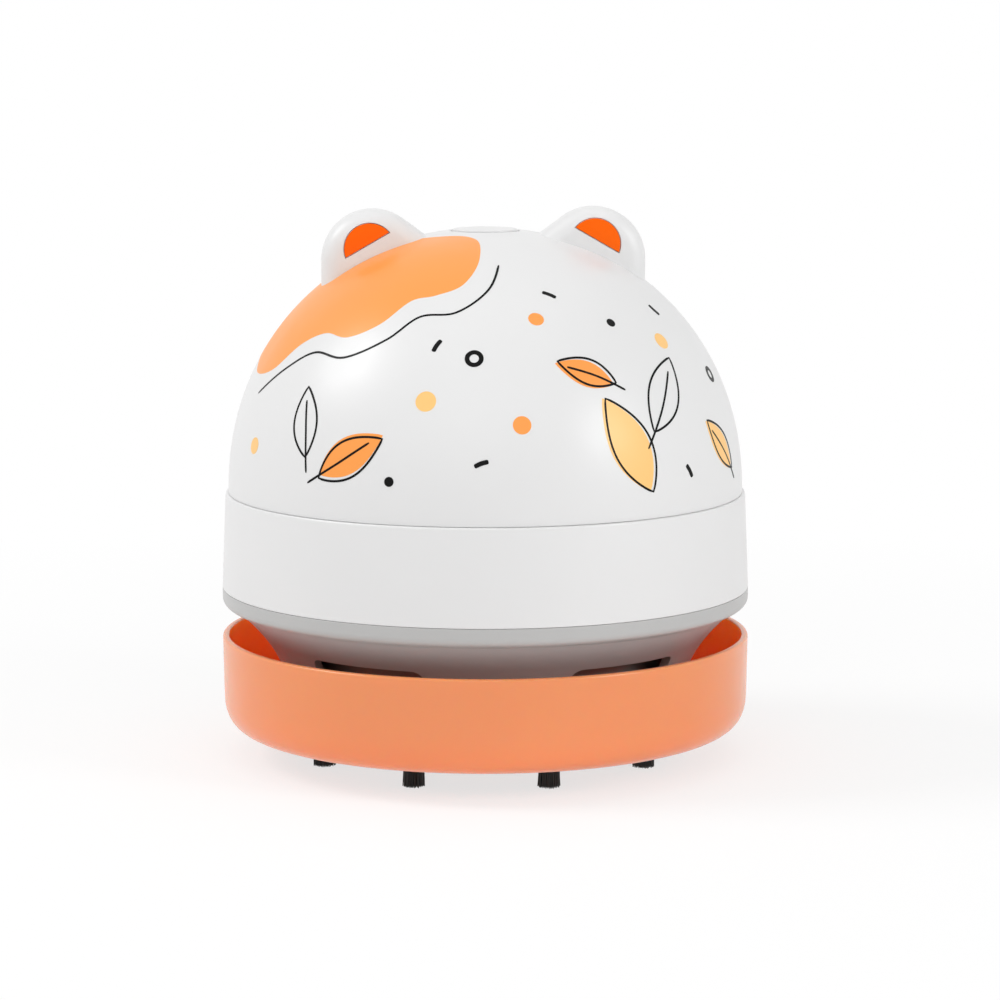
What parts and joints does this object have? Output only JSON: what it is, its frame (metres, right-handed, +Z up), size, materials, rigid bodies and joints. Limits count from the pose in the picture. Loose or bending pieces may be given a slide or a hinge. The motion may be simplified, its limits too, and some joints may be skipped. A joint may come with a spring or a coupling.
{
  "type": "desktop mini vacuum cleaner",
  "caption": "Domed desktop crumb vacuum with round ears and a crown push button, standing on brush tufts under an open dust tray that twists off.",
  "frame": {"origin": "on the standing surface under the middle of the round body", "axes": "+Z up along the body's middle line, the decorated front faces -Y, +X towards the right ear as seen from the front"},
  "size_m": [0.09, 0.09, 0.0943],
  "materials": {
    "white_shell": "gloss",
    "grey_shell": "gloss",
    "tray_plastic": "satin gloss",
    "inlay": "gloss",
    "bristle": "nylon bristle",
    "filter_plastic": "satin",
    "sponge": "open-cell foam",
    "seal_rubber": "matte",
    "inner_plastic": "satin",
    "black_plastic": "satin",
    "steel": "plated",
    "cell_wrap": "shrink sleeve",
    "board": "solder mask",
    "lamp": "clear lens",
    "lead_red": "wire sleeve",
    "lead_black": "wire sleeve"
  },
  "bodies": {
    "tray": {"dust_tray": "tray_plastic", "suction_pipe": "tray_plastic", "brush_strip_front": "bristle", "brush_strip_right": "bristle", "brush_strip_back": "bristle", "brush_strip_left": "bristle"},
    "filter": {"filter_cup": "filter_plastic", "filter_grid": "filter_plastic", "filter_sponge": "sponge", "filter_seal": "seal_rubber"},
    "housing": {"lower_housing": "grey_shell", "middle_band": "white_shell", "dome_cover": "white_shell", "ear_right": "white_shell", "ear_left": "white_shell", "ear_inlay_right": "inlay", "ear_inlay_left": "inlay", "fan_plate": "inner_plastic", "motor_frame": "inner_plastic", "motor_can": "steel", "motor_end_cap": "black_plastic", "battery_cell": "cell_wrap", "circuit_board": "board", "switch_body": "black_plastic", "charge_board": "board", "charge_port": "steel", "charge_lamp": "lamp", "motor_lead_red": "lead_red", "motor_lead_black": "lead_black", "cell_lead_red": "lead_red", "cell_lead_black": "lead_black", "charge_lead_red": "lead_red", "charge_lead_black": "lead_black", "frame_screw_1": "steel", "frame_screw_2": "steel", "frame_screw_3": "steel", "board_screw_1": "steel", "board_screw_2": "steel", "motor_screw_1": "steel", "motor_screw_2": "steel"},
    "fan": {"fan_wheel": "black_plastic", "motor_shaft": "steel"},
    "button": {"power_button": "white_shell", "switch_plunger": "inner_plastic"}
  },
  "joints": [
    {"name": "tray_lock", "type": "hinge", "parent": "tray", "child": "filter", "pos_m": [0, 0, 0.012], "axis": [0, 0, 1], "range_deg": [0, 18]},
    {"name": "housing_lift", "type": "slide", "parent": "filter", "child": "housing", "axis": [0, 0, 1], "range_m": [0, 0.045]},
    {"name": "fan_spin", "type": "hinge", "parent": "housing", "child": "fan", "pos_m": [0, 0, 0.035], "axis": [0, 0, 1], "continuous": true},
    {"name": "button_press", "type": "slide", "parent": "housing", "child": "button", "axis": [0, 0, -1], "range_m": [0, 0.0015], "stiffness_N_per_m": 1300}
  ]
}
